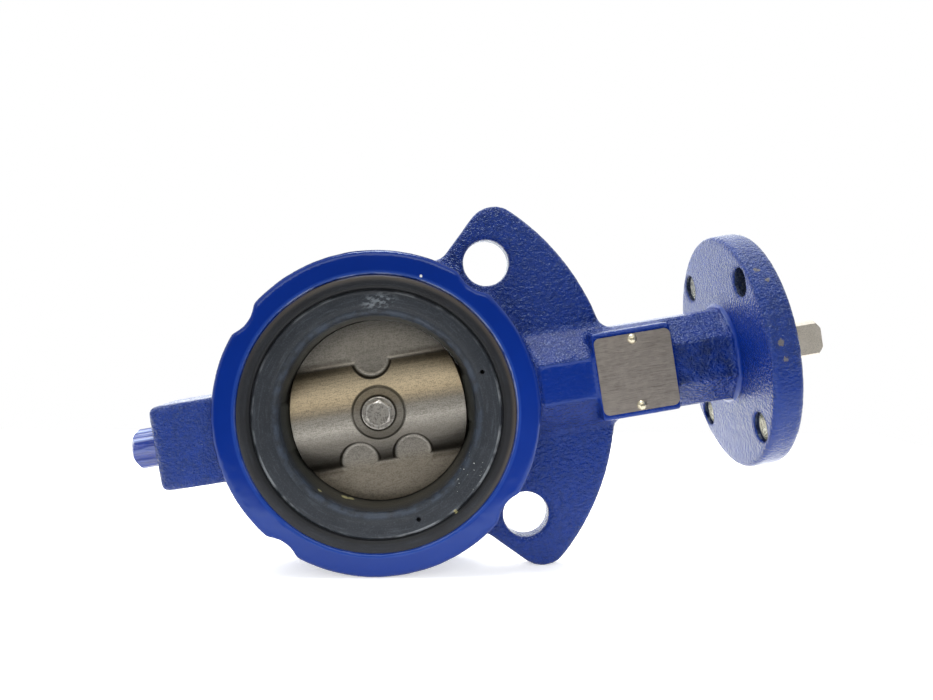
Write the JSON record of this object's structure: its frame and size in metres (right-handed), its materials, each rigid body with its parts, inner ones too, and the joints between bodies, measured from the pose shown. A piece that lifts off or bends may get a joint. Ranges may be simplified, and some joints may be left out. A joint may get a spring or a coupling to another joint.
{
  "type": "butterfly valve",
  "caption": "Wafer butterfly valve with a rubber seat, a drilled centring ear, an octagonal neck, a round actuator flange and a bare stem end.",
  "frame": {"origin": "centre of the bore, where the pipe axis crosses the stem axis", "axes": "+X along the stem towards the actuator flange, -Y out of the front face along the pipe, +Z square to both, up through the upper bolt hole's side of the ear"},
  "size_m": [0.2961, 0.1, 0.154],
  "materials": {
    "enamel": "deep blue gloss enamel on cast iron",
    "seat_rubber": "matt black moulded EPDM",
    "disc_steel": "bead-blasted stainless casting",
    "stem_steel": "turned stainless bar",
    "plate_steel": "brushed stainless sheet",
    "screw_steel": "bright stainless",
    "bronze": "sintered bronze",
    "packing": "white moulded ring",
    "ring_rubber": "black moulded rubber",
    "fibre": "pressed fibre"
  },
  "bodies": {
    "housing": {"body": "enamel", "seat": "seat_rubber", "bottom_plug": "enamel", "plug_washer": "fibre", "nameplate": "plate_steel", "drive_screw_upper": "screw_steel", "drive_screw_lower": "screw_steel", "upper_bushing": "bronze", "middle_bushing": "bronze", "lower_bushing": "bronze", "stem_packing": "packing", "dust_wiper": "ring_rubber", "stem_ring_upper": "ring_rubber", "stem_ring_lower": "ring_rubber"},
    "rotor": {"stem": "stem_steel", "disc": "disc_steel", "disc_screw": "screw_steel", "disc_screw_ring": "ring_rubber"}
  },
  "joints": [
    {"name": "disc_turn", "type": "hinge", "parent": "housing", "child": "rotor", "pos_m": [0, 0, 0], "axis": [1, 0, 0], "range_deg": [0, 90]}
  ]
}
